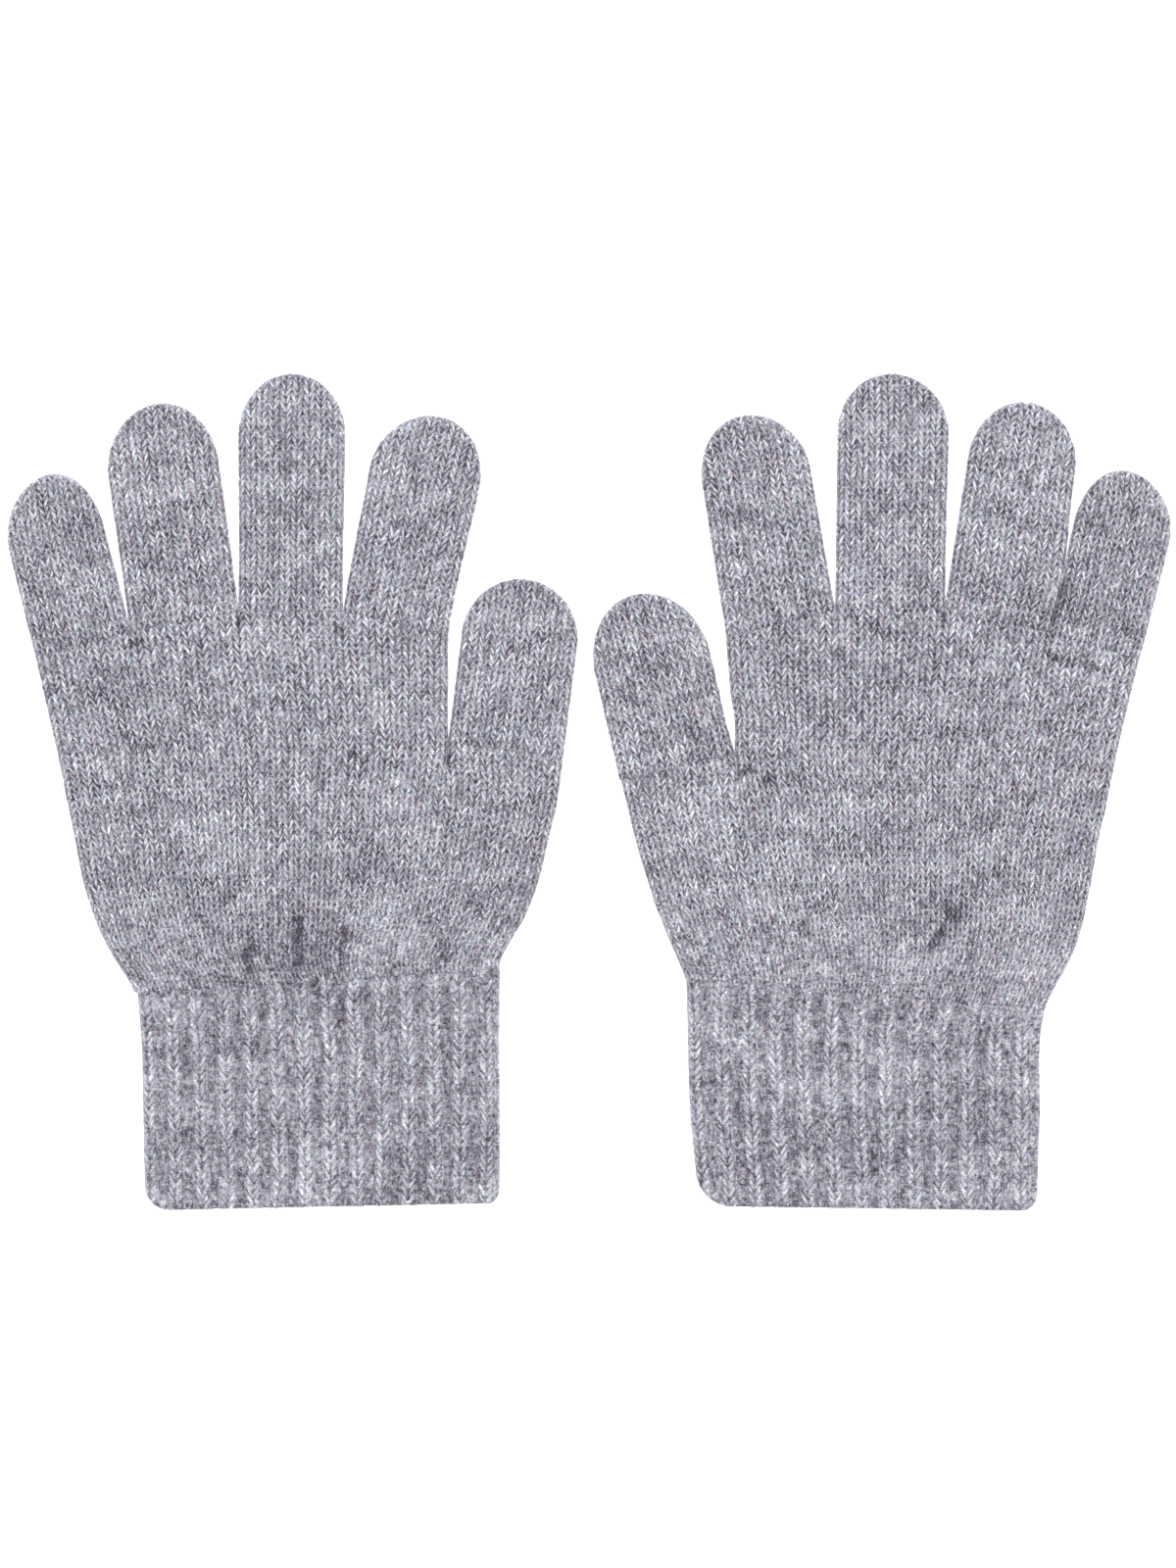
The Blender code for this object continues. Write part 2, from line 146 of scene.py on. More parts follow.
LEFT = Glove(
    "left", side=-1, middle_x=-74.85,
    roots=((-39.4, 144.2), (-13.0, 150.1), (13.3, 150.1), (40.3, 145.1), (64.0, 138.5)),
    thumb_root=((-68.2, 113.5), (-39.3, 117.4)),
    digits=(Digit("thumb", -57.2, 143.2, 29.2, 15.2, 0.0, 0.0, 0.0),
            Digit("index_finger", -33.4, 183.5, 28.1, 16.0, -0.8, -0.4, 0.2),
            Digit("middle_finger", -0.2, 194.3, 26.9, 15.5, 0.0, -0.2, -0.2),
            Digit("ring_finger", 31.9, 185.4, 28.0, 17.0, -0.6, 0.2, 0.0),
            Digit("little_finger", 58.6, 167.7, 24.6, 16.9, -1.6, 0.1, 0.0)),
    creases=(Crease(0.0, 66.0, 0, 17.0, 22.0, 0.35),
             Crease(-1.7, 67.5, 0, 13.0, 1.8, 0.9), Crease(-13.0, 67.5, 3, 10.0, 2.2, 0.7),
             Crease(10.8, 63.5, -8, 9.0, 2.6, 0.8), Crease(-38.0, 66.0, 60, 7.0, 3.5, 0.4),
             Crease(26.0, 65.0, 70, 6.0, 2.5, 0.35),
             Crease(-12.3, 145.6, 45, 3.6, 1.3, 1.0), Crease(12.9, 147.8, 0, 4.0, 1.4, 1.0),
             Crease(38.6, 142.6, -70, 3.6, 1.3, 1.0), Crease(-39.6, 113.0, 0, 4.5, 1.5, 0.9),
             Crease(-15.5, 114.2, 40, 2.6, 1.8, 0.8), Crease(17.9, 49.9, 20, 3.0, 2.2, 0.9),
             Crease(-6.1, 57.2, 0, 4.0, 2.2, 0.4)))
RIGHT = Glove(
    "right", side=1, middle_x=75.45,
    roots=((-41.4, 143.7), (-14.0, 150.6), (13.5, 151.3), (39.5, 144.9), (62.1, 138.0)),
    thumb_root=((-68.0, 107.8), (-39.1, 114.7)),
    digits=(Digit("thumb", -59.7, 137.0, 29.4, 18.1, -0.6, 0.0, -0.25),
            Digit("index_finger", -33.7, 183.7, 27.5, 16.0, -0.9, 0.0, 0.0),
            Digit("middle_finger", 0.5, 194.8, 28.0, 15.0, -0.5, 0.0, -0.1),
            Digit("ring_finger", 32.7, 186.9, 27.2, 15.8, -0.4, 0.1, 1.3),
            Digit("little_finger", 57.8, 170.0, 24.5, 15.4, -1.6, -0.35, 0.1)),
    creases=(Crease(10.6, 67.5, 30, 5.0, 3.0, 0.5), Crease(16.5, 76.0, 45, 11.0, 4.0, 0.35),
             Crease(13.5, 71.1, 41, 10.0, 1.3, 0.6), Crease(-22.0, 70.5, -50, 7.0, 2.6, 0.35),
             Crease(-36.4, 110.0, 60, 3.5, 1.6, 1.1), Crease(-31.0, 107.5, 60, 4.0, 2.0, 0.9),
             Crease(-3.0, 145.5, -69, 10.0, 2.2, 0.45),
             Crease(12.5, 148.2, 0, 3.4, 1.3, 0.9), Crease(39.9, 139.2, -60, 3.4, 1.5, 1.0),
             Crease(41.8, 152.0, 16, 13.0, 1.5, 0.9), Crease(45.4, 154.5, 18, 10.0, 5.0, 0.35),
             Crease(48.3, 136.8, -77, 10.5, 1.4, 0.8), Crease(-8.0, 127.0, 65, 6.0, 2.4, 0.3),
             Crease(-12.0, 42.0, 10, 3.0, 1.6, 0.4), Crease(14.0, 39.0, 0, 2.5, 1.6, 0.4)))

GLOVE_LENGTH = 210.0                 # hem to the tip of the middle finger, mm
CLOTH = 2.0                          # one wall of plain knit
AIR = 0.3                            # slit between the two walls
CROWN = 0.4                          # how much higher a piece is along its middle
WALES = {"thumb": 11}                # on one side of the tube
WALES_A_FINGER = 10
COLUMNS_A_WALE = 8                   # of points; four to each leg of a stitch
ROWS_A_COURSE = 4
COURSE = 1.8                         # mm
LEG_RISE = 1.2                       # courses that a stitch's leg climbs over half a wale
LEG_BEND = 0.35                      # how much steeper than that it is half-way up
LEG_DEPTH = 0.8                      # from a leg's crest down to the valley beside it, mm
LEG_END, LEG_SPAN = 0.2, 0.94        # height left at a leg's ends; share of half a sine between
LEG_THICKNESS = (0.6, 1.0)           # of the thinnest and the thickest leg
LEG_WANDER, LEG_WAVES = 0.2, 0.8     # courses that a leg strays up or down; its waves a course
LEG_TILE = (128, 256)                # legs and courses after which their thickness repeats
INSIDE = (0.6, 0.4, 1.0)             # share of the depth inside the cloth on top, beside, below
FOLD_RELIEF = 0.22                   # share of the stitches' relief that is left right on a fold
FOLD_LIGHT, FOLD_REACH = 0.35, 0.7   # painted light: the tone is lighter along a fold's last mm, where loose fibres catch more light
CREASE_SHADE = 0.7                   # painted shade: how much darker a crease is for each mm of its depth
CREASE_WAVE, CREASE_TURN = 0.15, 0.9  # a crease winds: share of its half width, radians a mm
NOISE_TILE = 64                      # steps after which soft noise repeats
CROWN_POWER = 4                      # of the way to its seam, by which a finger's crown runs out
SWELL_PEAK = 27 / 4                  # makes x * x * (1 - x) 1 at its highest, where x is 2/3
# Unevenness of the laid knit across and along a finger, and of its surface by loose fibres, as
# the rise, width and length of its waves
FINGER_SWAY = ((0.22, 4.0, 4.0), (0.12, 1.7, 1.9))
STRETCH = ((0.2, 3.0, 3.0),)
FUZZ = ((0.05, 1 / 1.9, 1 / 1.9), (0.04, 1 / 3.1, 1 / 3.1))
STEADY = 3.0                         # it grows from a fold or a seam over this distance
UPPER, UNDER = 0, 1
UNDER_STEP = (2, 2)                  # the under panel keeps every second column and row
FINGER_UNDER_WALE = 20               # its wales are numbered on by this, as its yarn differs
LINING_STEP = (16, 16)
LINING_TONE = 0.6                    # the lining is as bright as the middle of a stitch
QUARTER_TURN = math.pi / 2
TURN_MORE = SIDE_FOLD * (QUARTER_TURN - 1)  # cloth that a fold takes up beyond its width in plan


def ease(x):
    """Smooth step from 0 to 1 over the same range of x."""
    x = np.clip(x, 0.0, 1.0)
    return x * x * (3 - 2 * x)


def mix(a, b, share):
    return a + (b - a) * share


def hump(distance, reach):
    """1 at distance 0, falling smoothly to 0 at reach."""
    share = np.minimum(np.abs(distance) / reach, 1.0)
    return (1 - share * share) ** 2


def rounded(inset, radius=SIDE_FOLD):
    """Quarter circle that rises from 0 at a fold to 1 at radius in from it."""
    left = 1 - np.clip(inset / radius, 0.0, 1.0)
    return np.sqrt(1 - left * left)


def soft_noise(x, y, seed):
    """Value noise from -1 to 1: random numbers on a square lattice with smooth steps between."""
    table = np.random.default_rng(seed).uniform(-1, 1, (NOISE_TILE, NOISE_TILE))
    i, j = np.floor(x).astype(int), np.floor(y).astype(int)
    fx, fy = ease(x - i), ease(y - j)

    def at(a, b):
        return table[(i + a) % NOISE_TILE, (j + b) % NOISE_TILE]

    return mix(mix(at(0, 0), at(1, 0), fx), mix(at(0, 1), at(1, 1), fx), fy)


def uneven(u, v, waves, seed):
    """Sum of soft noises, each with its own rise, width and length."""
    return sum(rise * soft_noise(u / width, v / length, seed + k)
               for k, (rise, width, length) in enumerate(waves, 1))


def troughs(creases, u, v):
    """Depth of the creases: smooth across and tapering along each one's slightly winding line."""
    depth = np.zeros(np.shape(u))
    for crease in creases:
        lean = math.radians(crease.lean)
        du, dv = u - crease.u, v - crease.v
        along = du * math.sin(lean) + dv * math.cos(lean)
        across = du * math.cos(lean) - dv * math.sin(lean)
        winding = CREASE_WAVE * crease.half_width * np.sin(along * CREASE_TURN + crease.u)
        depth = depth + (crease.depth * hump(across + winding, crease.half_width)
                         * hump(along, crease.half_length))
    return depth


def wrapped_place(share, low, high):
    """Place across a tube between its folds at low and high, by share of the cloth's way across.

    The cloth's way is a quarter circle up from one fold, the flat top and a quarter circle down
    to the other; equal steps along it bunch together in plan beside the folds.
    """
    turn = SIDE_FOLD * QUARTER_TURN
    total = high - low + 2 * TURN_MORE
    way = share * total
    near = np.minimum(way, total - way)
    plan = np.where(near < turn, SIDE_FOLD * (1 - np.cos(np.clip(near, 0, turn) / SIDE_FOLD)),
                    near - TURN_MORE)
    return np.where(way <= total - way, low + plan, high - plan)


def side_of_leg(wale):
    """0 along the middle of a wale, where both legs of its stitches meet, to 1 at its sides."""
    return np.abs(2 * (wale - np.floor(wale)) - 1)


def leg_climb(side):
    """Courses climbed along a leg: a straight rise with a sine wave in it, steepest half-way."""
    return LEG_RISE * (side - LEG_BEND / (2 * math.pi) * np.sin(2 * math.pi * side))


def stitch_height(wale, phase, seed):
    """Height of stockinette, 1 on the crests of the legs and 0 in the valleys.

    Across a leg the yarn is half a circle over one course of phase; along it the leg sinks at
    both ends under its neighbours. Every leg is a little thicker or thinner than the next.
    """
    side = side_of_leg(wale)
    shifted = phase + LEG_WANDER * soft_noise(2 * wale, phase * LEG_WAVES, seed + 1)
    across = shifted - np.floor(shifted)
    round_yarn = np.sqrt(np.clip(1 - (2 * across - 1) ** 2, 0, 1))
    along = mix(LEG_END, 1.0, np.sin(np.pi * np.clip(0.5 + (side - 0.5) * LEG_SPAN, 0, 1)))
    table = np.random.default_rng(seed).uniform(*LEG_THICKNESS, LEG_TILE)
    leg, course = np.floor(2 * wale).astype(int), np.floor(phase).astype(int)
    return round_yarn * along * table[leg % LEG_TILE[0], course % LEG_TILE[1]]


class Bag:
    """A closed shell of two skins, outer and lining, each of an upper and an under panel.

    Its points lie on a grid of columns, which follow the wales, and rows, which follow the legs
    of the stitches. A column keeps only the rows from its start to its end. A block is a run of
    columns, as its first, its last and the end of every column. The panels share their points
    where folds is true.
    """

    def __init__(self, glove, name, start, blocks, folds):
        self.glove, self.name = glove, name
        self.start, self.blocks, self.folds = start, blocks, folds
        self.points, self.stitches, self.faces, self.is_rim, self.ids = [], [], [], [], {}

    def add_panels(self, skin, places, stitches):
        """Points of a skin's two panels: their places, and wale, course, height with painted light
        and shade, and clearness.
        """
        size = self.folds.size
        upper = np.arange(size).reshape(self.folds.shape) + 2 * size * len(self.ids)
        self.ids[skin] = (upper, np.where(self.folds, upper, upper + size))
        for panel in (UPPER, UNDER):
            self.points.append(np.stack(places[panel], -1).reshape(-1, 3))
            self.stitches.append(np.stack(stitches[panel], -1).reshape(-1, 4))

    def add_knit(self, u, v, heights, wale, phase, clear, light, trough, seeds, under_wale,
                 depth=LEG_DEPTH, stitch=None):
        """The outer skin: both panels with their stitches raised, with painted light, and painted
        shade in the creases.

        The stitches are stockinette, unless their height is given.
        """
        places, stitches = [], []
        for panel, z in enumerate(heights):
            place, height = dress(u, v, z, panel, wale, phase, self.folds, seeds[panel],
                                  depth, stitch)
            # The tone is the stitches' height with painted light and shade added and painted shade
            # in the creases; it is kept as the attribute height
            tone = height + light - CREASE_SHADE * trough * (panel == UPPER)
            places.append(place)
            stitches.append((wale + under_wale * panel, phase, tone, clear))
        self.add_panels("outer", places, stitches)

    def add_lining(self, u, v, inset, wale, phase):
        """The inner skin: two flat panels with the slit between them, which closes at the folds."""
        slit = AIR / 2 * rounded(inset, AIR / 2)
        bare = (wale, phase, np.full(u.shape, LINING_TONE), np.zeros(u.shape))
        self.add_panels("inner", [(u, v, SIDE_FOLD + slit), (u, v, SIDE_FOLD - slit)], [bare, bare])

    def corner(self, skin, panel, i, j, block, step):
        """Point of a grid corner. Inside a block, a coarse panel moves it to the next kept one."""
        first, last, end = block
        j = np.clip(j, self.start[i], end[i])
        inside = (i > first) & (i < last) & (j > self.start[i]) & (j < end[i])
        middle = (first + last) // 2
        up = np.minimum(-(-i // step[0]) * step[0], middle)
        down = np.maximum(i // step[0] * step[0], middle)
        k = np.where(inside, np.where(i < middle, up, down), i)
        row = np.where(inside, j // step[1] * step[1], j)
        return self.ids[skin][panel][k, np.clip(row, self.start[k], end[k])]

    def add_skin(self, skin, steps):
        """Both panels' triangles, cut along the diagonal that points at the middle of the tip."""
        rows = self.folds.shape[1]
        for block in self.blocks:
            first, last, _ = block
            i, j = np.meshgrid(np.arange(first, last), np.arange(rows - 1), indexing="ij")
            i, j = i.ravel(), j.ravel()
            left = i < (first + last) / 2
            for panel in (UPPER, UNDER):
                a, b, e, d = (self.corner(skin, panel, i + p, j + q, block, steps[panel])
                              for p, q in ((0, 0), (1, 0), (1, 1), (0, 1)))
                one = np.stack([a, b, np.where(left, d, e)], -1)
                two = np.stack([np.where(left, b, a), e, d], -1)
                flat = np.concatenate([one, two])
                self.add_faces(flat, (skin == "outer") == (panel == UPPER), is_rim=False)

    def add_rim(self, first, last, edge, at_start):
        """The cloth's cut edge along the given row of each of a run of columns."""
        i = np.arange(first, last)
        for panel in (UPPER, UNDER):
            outer, inner = self.ids["outer"][panel], self.ids["inner"][panel]
            a, b = outer[i, edge[i]], outer[i + 1, edge[i + 1]]
            d, e = inner[i, edge[i]], inner[i + 1, edge[i + 1]]
            flat = np.concatenate([np.stack([a, e, b], -1), np.stack([a, d, e], -1)])
            self.add_faces(flat, at_start == (panel == UPPER), is_rim=True)

    def close(self, is_open):
        """Both skins, and the cut edges where columns start and, if open, where they end."""
        self.add_skin("outer", ((1, 1), UNDER_STEP))
        self.add_skin("inner", (LINING_STEP, LINING_STEP))
        for first, last, end in self.blocks:
            self.add_rim(first, last, self.start, at_start=True)
            if is_open:
                self.add_rim(first, last, end, at_start=False)

    def add_faces(self, flat, turn, is_rim):
        """Keeps triangles, turned over where the plan is mirrored or they would face inward."""
        self.faces.append(flat if turn == (self.glove.side > 0) else flat[:, ::-1])
        self.is_rim.append(np.full(len(flat), is_rim))

    def finish(self, material):
        """Writes the mesh, without the points and the flattened faces that nothing uses."""
        faces = np.concatenate(self.faces)
        keep = (faces != np.roll(faces, 1, axis=1)).all(axis=1)
        # Where a triangle's three corners all lie on a fold, its twin in the other panel cancels it
        corners = np.sort(faces, axis=1)
        _, same, times = np.unique(corners, axis=0, return_inverse=True, return_counts=True)
        keep &= times[same.ravel()] == 1
        is_rim = np.concatenate(self.is_rim)[keep]
        used, faces = np.unique(faces[keep], return_inverse=True)
        faces = faces.reshape(-1, 3)
        plan = np.concatenate(self.points)[used]
        stitches = np.concatenate(self.stitches)[used]
        points = np.stack([self.glove.middle_x + self.glove.side * plan[:, 0],
                           plan[:, 1] - GLOVE_LENGTH / 2, plan[:, 2]], -1) * MM
        mesh = bpy.data.meshes.new(self.name)
        mesh.from_pydata(points.tolist(), [], faces.tolist(), shade_flat=False)
        if mesh.validate():
            print(self.name, "had faults in its mesh")
        uv = mesh.uv_layers.new(name="stitches")
        uv.data.foreach_set("uv", stitches[faces.ravel(), :2].astype(np.float32).ravel())
        # The attribute height holds the stitches' height with painted light and painted shade added
        for k, name in ((2, "height"), (3, "clear")):
            values = mesh.attributes.new(name, "FLOAT", "POINT")
            values.data.foreach_set("value", stitches[:, k].astype(np.float32))
        sharp = mesh.attributes.new("sharp_face", "BOOLEAN", "FACE")
        sharp.data.foreach_set("value", is_rim)
        mesh.materials.append(material)
        piece = bpy.data.objects.new(self.name, mesh)
        bpy.context.scene.collection.objects.link(piece)
        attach(piece, "root")
        print(self.name, len(faces), "triangles")
        return piece


def clip_rows(way, start, end):
    """Rows cut to each column's start and end, with the numbers of its first and last row."""
    first = np.maximum((way <= start[:, None]).sum(1) - 1, 0)
    last = np.minimum(way.shape[1] - (way >= end[:, None]).sum(1), way.shape[1] - 1)
    return np.clip(way, start[:, None], end[:, None]), first, last


def outward(u, v, z, fold):
    """Unit normals of a panel, level at its folds, from differences along columns and rows."""
    place = np.stack([u, v, z], -1)
    along_columns, along_rows = np.gradient(place, axis=0), np.gradient(place, axis=1)
    normal = np.cross(along_columns, along_rows)
    normal[fold, 2] = 0
    size = np.linalg.norm(normal, axis=-1, keepdims=True)
    return normal / np.maximum(size, 1e-9)


def dress(u, v, z, panel, wale, phase, fold, seed, depth, height):
    """A bare panel with its stitches raised on it along its normals, and the stitches' height.

    On top and at the sides the cloth's own surface lies inside the stitches' depth; underneath
    their crests lie on the table. A parabola over the normal's rise joins the three. Loose fibres
    make the upper side uneven.
    """
    sign = 1 if panel == UPPER else -1
    normal = outward(u, v, z, fold) * sign
    normal[fold] *= sign
    if height is None:
        height = stitch_height(wale, phase, seed)
    fuzz = uneven(u, v, FUZZ, seed + 4) * (panel == UPPER)
    on_top, beside, underneath = INSIDE
    across, along, up = normal[..., 0], normal[..., 1], normal[..., 2]
    inside = beside + (on_top - underneath) / 2 * up \
        + ((on_top + underneath) / 2 - beside) * up ** 2
    raise_by = (depth * (height - inside) + fuzz) * mix(FOLD_RELIEF, 1.0, np.abs(up))
    place = (u + across * raise_by, v + along * raise_by, np.maximum(z + up * raise_by, 0.0))
    return place, height


def make_digit(glove, digit, material):
    """A finger: a ruled tube from its seam to the shoulder line, then a half-round tip."""
    place = glove.digits.index(digit)
    ends = glove.thumb_root if digit.name == "thumb" else glove.roots[place - 1:place + 1]
    ends = np.array(ends)
    seam = np.linalg.norm(ends[1] - ends[0])
    across = (ends[1] - ends[0]) / seam
    shoulder = np.array([digit.u, digit.v])
    along = shoulder - ends.mean(0)
    along = along / np.linalg.norm(along)
    square = np.array([along[1], -along[0]])
    half = digit.width / 2
    wales = WALES.get(digit.name, WALES_A_FINGER)
    columns = wales * COLUMNS_A_WALE
    shares = wrapped_place(np.arange(columns + 1) / columns, 0.0, digit.width) / digit.width
    x = 2 * shares - 1
    wale = np.arange(columns + 1) / COLUMNS_A_WALE
    seed = 100 * place + (7 if glove.side > 0 else 3)  # each piece has seeds of its own

    def feet_and_shoulders(wall):
        """Ends of each column's straight stretch, a wall's thickness in from the tube's outside."""
        ends_in = ends + np.outer([1, -1], across) * wall
        feet = mix(ends_in[0], ends_in[1], shares[:, None])
        return feet, shoulder + np.outer(x * (half - wall), square)

    feet = feet_and_shoulders(0.0)[0]
    start = (feet - shoulder) @ along
    tip_end = digit.tip * np.sqrt(np.maximum(1 - x * x, 0))
    flat_end = tip_end - SIDE_FOLD
    way_end = flat_end + SIDE_FOLD * QUARTER_TURN
    # w runs up the finger's middle from the shoulder line, and way follows the cloth over the tip
    lowest = start.min() - LEG_RISE * COURSE - COURSE / ROWS_A_COURSE
    rows = int((way_end.max() - lowest) / COURSE * ROWS_A_COURSE) + 2
    turns = np.arange(rows + 1) / ROWS_A_COURSE
    climb = leg_climb(side_of_leg(wale))[:, None]
    way, first, last = clip_rows(lowest + COURSE * (turns[None, :] + climb), start, way_end)
    phase = (way - lowest) / COURSE - climb
    rise = np.clip((way - flat_end[:, None]) / SIDE_FOLD, 0, QUARTER_TURN)
    w = np.where(rise > 0, flat_end[:, None] + SIDE_FOLD * np.sin(rise), way)

    def plan(wall):
        """Places in plan and their distance in from the outline, a wall in from the outside.

        Below the shoulder a column is a straight line with the sides' swell; above it, it goes
        up by its share of the tip's half ellipse, which bends aside with the square of that.
        """
        feet, shoulders = feet_and_shoulders(wall)
        foot_share = np.clip(w / start[:, None], 0, 1)
        tip_share = np.clip(w / digit.tip, 0, 1)
        swell = mix(-digit.swell_thumb_side, digit.swell_little_side, shares)[:, None]
        swell_share = SWELL_PEAK * foot_share ** 2 * (1 - foot_share)
        aside = swell * swell_share + digit.bend * tip_share ** 2
        up = tip_share * (digit.tip - wall)
        u, v = (shoulders[:, k, None] + (feet - shoulders)[:, k, None] * foot_share
                + square[k] * aside + along[k] * up for k in (0, 1))
        width = mix(2 * (half - wall), seam, foot_share)
        beside = (1 - np.abs(x))[:, None] * width / 2
        over_tip = (1 - np.hypot(x[:, None], tip_share)) * (half - wall)
        return u, v, np.where(w > 0, over_tip, beside), foot_share

    folds = np.zeros(w.shape, bool)
    folds[[0, -1]] = True
    folds |= np.arange(rows + 1)[None, :] >= last[:, None]
    wale_grid = np.broadcast_to(wale[:, None], w.shape)
    u, v, inset, foot_share = plan(0.0)
    inset = np.where(folds, 0, inset)
    steady = ease(inset / STEADY) * ease((way - start[:, None]) / STEADY)
    u = u + steady * uneven(u, v, FINGER_SWAY, seed)
    v = v + steady * uneven(u, v, STRETCH, seed + 2)
    crown = CROWN * hump(half - inset, half) * (1 - foot_share ** CROWN_POWER)
    trough = troughs(glove.creases, u, v)
    top = SIDE_FOLD + (SIDE_FOLD + crown - trough) * rounded(inset)
    bottom = SIDE_FOLD - SIDE_FOLD * rounded(inset)
    # Painted light along the folds
    light = FOLD_LIGHT * hump(inset, FOLD_REACH)
    name = glove.label + "_" + digit.name
    bag = Bag(glove, name + "_knit", first, [(0, columns, last)], folds)
    bag.add_knit(u, v, (top, bottom), wale_grid, phase, np.ones(w.shape), light, trough,
                 (seed, seed + 50), FINGER_UNDER_WALE)
    u, v, inset, _ = plan(CLOTH)
    bag.add_lining(u, v, np.where(folds, 0, inset), wale_grid, phase)
    bag.close(is_open=False)
    piece = bag.finish(material)
    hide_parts(name)
    length = digit.tip - start.mean()
    area = 2 * ((digit.width + seam) / 2 * -start.mean() + math.pi / 2 * half * digit.tip)
    length * MM
    area * MM * MM


class Socket:
    """A shader value that adds its own Math node when it is used in an expression."""

    def __init__(self, tree, link):
        self.tree, self.link = tree, link

    def math(self, operation, *values):
        return self.tree.node("ShaderNodeMath", {"operation": operation},
                              dict(enumerate((self, *values))))

    def __add__(self, other):
        return self.math("ADD", other)

    def __sub__(self, other):
        return self.math("SUBTRACT", other)

    def __rsub__(self, other):
        return self.math("SUBTRACT", other) * -1

    def __mul__(self, other):
        return self.math("MULTIPLY", other)

    __radd__, __rmul__ = __add__, __mul__


class Tree:
    """A material's nodes. node() makes one, applies its settings and fills its sockets."""

    def __init__(self, name):
        self.material = bpy.data.materials.new(name)
        self.material.use_nodes = True
        self.nodes, self.links = self.material.node_tree.nodes, self.material.node_tree.links
        self.shader = self.nodes["Principled BSDF"]

    def fill(self, socket, value):
        if isinstance(value, Socket):
            self.links.new(value.link, socket)
        else:
            socket.default_value = value

    def node(self, kind, settings=None, values=None, output=0):
        made = self.nodes.new(kind)
        for key, value in (settings or {}).items():
            if key == "stops":
                self.set_stops(made.color_ramp.elements, value)
            else:
                setattr(made, key, value)
        for key, value in (values or {}).items():
            self.fill(made.inputs[key], value)
        return Socket(self, made.outputs[output])

    def set_stops(self, elements, stops):
        """A new ramp has two elements; the further stops get new ones."""
        for k, (position, colour) in enumerate(stops):
            element = elements[k] if k < 2 else elements.new(position)
            element.position, element.color = position, colour


def linear(screen_colour):
    """Linear colour of red, green and blue from 0 to 255 as a screen shows them."""
    values = [c / 255 for c in screen_colour]
    return (*(v / 12.92 if v <= 0.04045 else ((v + 0.055) / 1.055) ** 2.4 for v in values), 1.0)


# The melange runs from charcoal to near white, all of it a cool, slightly lilac grey
MELANGE = ((0.0, (58, 54, 65)), (0.2, (104, 100, 112)), (0.42, (148, 146, 156)),
           (0.62, (182, 181, 190)), (0.82, (216, 216, 223)), (1.0, (246, 247, 250)))
HUE_RANGE = (0.8, 0.5, 0.62)         # how far single fibres stray in red, green and blue, of 1


